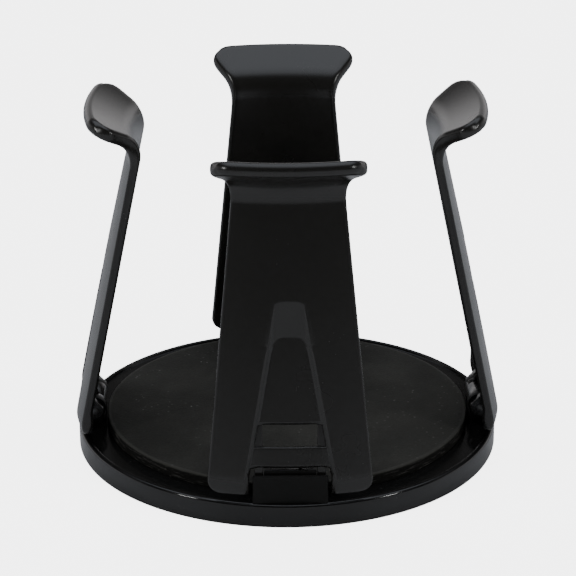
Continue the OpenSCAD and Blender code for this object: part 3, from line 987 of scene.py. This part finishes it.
def hinge_apron(name):
    """The plate that closes the arch in front of the pin, clear of the lugs as the arm opens. Its
    dark finish is painted shade for the arch.
    """
    return along_pin(name, APRON, APRON_HALF, 0.25 * MM)


def hinge_guard(name):
    """The upright between the ears that hides the pin under the crossbar."""
    return along_pin(name, GUARD, GUARD_HALF, 0.1 * MM)


# How far a pin's end stands out of its lug, and the rounding of that end
PIN_PROUD, PIN_ROUND = 0.12, 0.22


def hinge_pin(name):
    """A rod with rounded ends through both lugs, turned upright and then laid along Y."""
    half = LUG_Y + LUG_T + PIN_PROUD
    profile = [(0, -half)] + turn((PIN_R, -half), 0, 90, PIN_ROUND, 4)
    profile += [(PIN_R, y) for y in (-6, -2, 2, 6)]
    profile += turn((PIN_R, half), 90, 180, PIN_ROUND, 4) + [(0, half)]
    obj = lathe(name, profile, 40)
    co = coords(obj) / MM
    set_coords(obj, to_frame(np.stack([co[:, 0], co[:, 2], co[:, 1] + PIN_H], 1), 0))
    clean(obj, 1e-7)
    smooth(obj)
    return obj


# The air between the spring's turns, the bend of its hook, and the places of its foot: so far
# behind the coil and at which height
TURN_GAP, HOOK_BEND = 0.15, 0.6
FOOT_STEPS = ((0.3, 1.65), (0.15, 3.6))


def spring(name):
    """The wire: a curve along the coil's path, with a round section."""
    coil_r = PIN_R + COIL_GAP + WIRE_R
    half = COIL_TURNS * (2 * WIRE_R + TURN_GAP) / 2
    a = math.radians(COIL_LEAVE)
    push_x = (PUSH_H - PIN_H) * math.tan(a) - coil_r / math.cos(a)
    steps = 24 * COIL_TURNS
    pts = [(-coil_r - out, -half, z) for out, z in FOOT_STEPS]
    for i in range(steps + 1):
        t = math.radians(-90 + (360 * COIL_TURNS + COIL_LEAVE) * i / steps)
        pts.append((coil_r * math.sin(t), half * (2 * i / steps - 1), PIN_H + coil_r * math.cos(t)))
    leave, top = np.array(pts[-1]), np.array([push_x, half, PUSH_H])
    pts += [leave + (top - leave) * t for t in (0.3, 0.6)]
    up, aside = np.array([math.sin(a), 0, math.cos(a)]), np.array([0, 1.0, 0])
    pts += [curve(top - up * HOOK_BEND, top, top + aside * HOOK_BEND, i / 6) for i in range(7)]
    pts.append((push_x, LUG_Y + LUG_T / 2 - 0.5, PUSH_H))
    deselect_all()
    bpy.ops.curve.primitive_nurbs_path_add()
    obj = bpy.context.object
    obj.name = obj.data.name = name
    obj.data.splines.clear()
    line = obj.data.splines.new("POLY")
    where = to_frame(pts, 0)
    line.points.add(len(where) - 1)
    for p, q in zip(line.points, where):
        p.co = (*q, 1)
    obj.data.bevel_depth = WIRE_R * MM
    obj.data.bevel_resolution = 2
    obj.data.use_fill_caps = True
    pick(obj)
    bpy.ops.object.convert(target="MESH")
    obj = bpy.context.object
    clean(obj, 1e-7)
    smooth(obj)
    return obj


# Building

tray = finish(tray_shell(), tray_black, "tray_plastic")
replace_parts(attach(tray, "base"), "base_tray")
ribs = finish(tray_ribs(), tray_black, "tray_plastic")
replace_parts(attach(ribs, "base"), "base_tray")
mat = finish(grip_mat(), mat_dark, "mat_rubber")
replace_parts(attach(mat, "base"), "grip_mat")

# The right arm's pieces, and then a copy of each at every station
bracket_copy = softened_copy("hinge_bracket_right", "bracket", 0.12 * MM)
first = {
    "wall": finish(arm_wall("arm_wall"), arm_black, "arm_plastic"),
    "lug_a": finish(arm_lug("lug_a", -1), arm_black, "arm_plastic"),
    "lug_b": finish(arm_lug("lug_b", 1), arm_black, "arm_plastic"),
    "pin": finish(hinge_pin("pin"), pin_steel, "steel"),
    "spring": finish(spring("spring"), spring_steel, "steel"),
    "bracket": finish(bracket_copy, bracket_painted_shade_black, "bracket_plastic"),
    "housing": finish(hinge_housing("housing"), arm_black, "bracket_plastic"),
    "guard": finish(hinge_guard("guard"), bracket_painted_shade_black, "bracket_plastic"),
    "apron": finish(hinge_apron("apron"), bracket_painted_shade_black, "bracket_plastic"),
}
for i, side in enumerate(SIDES):
    body = f"{side}_arm"
    for kind, node in (("wall", "arm"), ("lug_a", "arm"), ("lug_b", "arm"), ("pin", "hinge_pin")):
        piece = copy_of(first[kind], f"{kind}_{side}", i)
        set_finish(piece, first[kind]["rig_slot"])
        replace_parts(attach(piece, body), f"{node}_{side}")
    for kind in ("bracket", "housing", "guard", "apron"):
        piece = copy_of(first[kind], f"{kind}_{side}", i)
        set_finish(piece, first[kind]["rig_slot"])
        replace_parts(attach(piece, "base"), f"hinge_bracket_{side}")
    coil = copy_of(first["spring"], f"spring_{side}", i)
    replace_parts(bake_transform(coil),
                f"torsion_spring_{side}")
for obj in first.values():
    bpy.data.objects.remove(obj)
screws = frame["nodes"]["bracket_screws"]
screws.data.materials.clear()
screws.data.materials.append(screw_steel)


# Room, light and camera

def lit_floor(name, glow):
    """A pale studio floor that glows for the camera alone, as a light table does."""
    m, n, at = new_material(name)
    tone = n.ramp(n.noise(at, 3, 2), 0.3, 0.7, 0.84, 0.86)
    grey = n.add("ShaderNodeCombineColor", {0: tone, 1: tone, 2: tone}).outputs[0]
    seen = n.add("ShaderNodeLightPath").outputs["Is Camera Ray"]
    n.surface(Base_Color=grey, Roughness=0.7, Specular_IOR_Level=0.2, Emission_Color=(1, 1, 1, 1),
              Emission_Strength=n.math("MULTIPLY", seen, glow))
    return m


deselect_all()
bpy.ops.mesh.primitive_plane_add(size=8)
floor = bpy.context.object
floor.name = "floor"
floor.data.materials.append(lit_floor("floor_white", 4.5))

# The room is dark, with a pale sweep low behind the object and a soft ceiling light above it
ROOM_DARK, SWEEP_PALE = (0.03, 0.029, 0.027, 1), (0.97, 0.95, 0.96, 1)
CEILING, CEILING_WAY = (1.35, 1.42, 1.55, 1), (0, 0.174, 0.985)
world = bpy.data.worlds.new("room")
bpy.context.scene.world = world
world.use_nodes = True
wn = Nodes(world.node_tree)
facing = wn.add("ShaderNodeTexCoord").outputs["Generated"]
_, back, up = wn.add("ShaderNodeSeparateXYZ", {0: facing}).outputs
sweep = wn.math("MULTIPLY", wn.ramp(back, -0.25, 0.15), wn.ramp(up, 0.4, 0.22))
above = wn.add("ShaderNodeVectorMath", {0: facing, 1: CEILING_WAY},
               operation="DOT_PRODUCT").outputs["Value"]
room = wn.mix(sweep, ROOM_DARK, SWEEP_PALE)
room = wn.mix(wn.ramp(above, 0.74, 0.92), room, CEILING)
shade = wn.add("ShaderNodeBackground", {"Color": room, "Strength": 1.0})
wn.add("ShaderNodeOutputWorld", {"Surface": shade.outputs[0]})


LIGHT_SIZE, LIGHT_AIM = 0.12, (0, 0, 0.05)


def area_light(name, at, power):
    """A small square light that faces the tray."""
    data = bpy.data.lights.new(name, "AREA")
    data.shape, data.size, data.energy = "SQUARE", LIGHT_SIZE, power
    obj = bpy.data.objects.new(name, data)
    bpy.context.scene.collection.objects.link(obj)
    obj.location = at
    obj.rotation_mode = "QUATERNION"
    obj.rotation_quaternion = (Vector(LIGHT_AIM) - Vector(at)).to_track_quat("-Z", "Y")


area_light("key", (-0.74, -0.5, 0.46), 1.8)
area_light("fill", (0.74, -0.5, 0.46), 1.7)

# The camera as it was fitted to the photo: focal length and width in pixels, then its distance
# and the place it aims at in millimetres, and its azimuth, elevation and roll in degrees
FOCAL_PX, WIDTH_PX, SENSOR = 2568.57, 576, 36
DISTANCE, AIM = 668.675, (0.415, 0, 41.746)
azimuth, elevation, roll = (math.radians(a) for a in (-0.880, 21.907, -0.2045))
camera = bpy.data.objects.new("camera", bpy.data.cameras.new("camera"))
bpy.context.scene.collection.objects.link(camera)
bpy.context.scene.camera = camera
camera.data.sensor_width = SENSOR
camera.data.lens = FOCAL_PX / WIDTH_PX * SENSOR
camera.data.clip_start, camera.data.clip_end = 0.05, 20
away = Vector((math.sin(azimuth) * math.cos(elevation), -math.cos(azimuth) * math.cos(elevation),
               math.sin(elevation)))
camera.location = Vector(AIM) * MM + away * DISTANCE * MM
camera.rotation_mode = "QUATERNION"
camera.rotation_quaternion = (-away).to_track_quat("-Z", "Y") @ \
    Matrix.Rotation(roll, 4, "Z").to_quaternion()
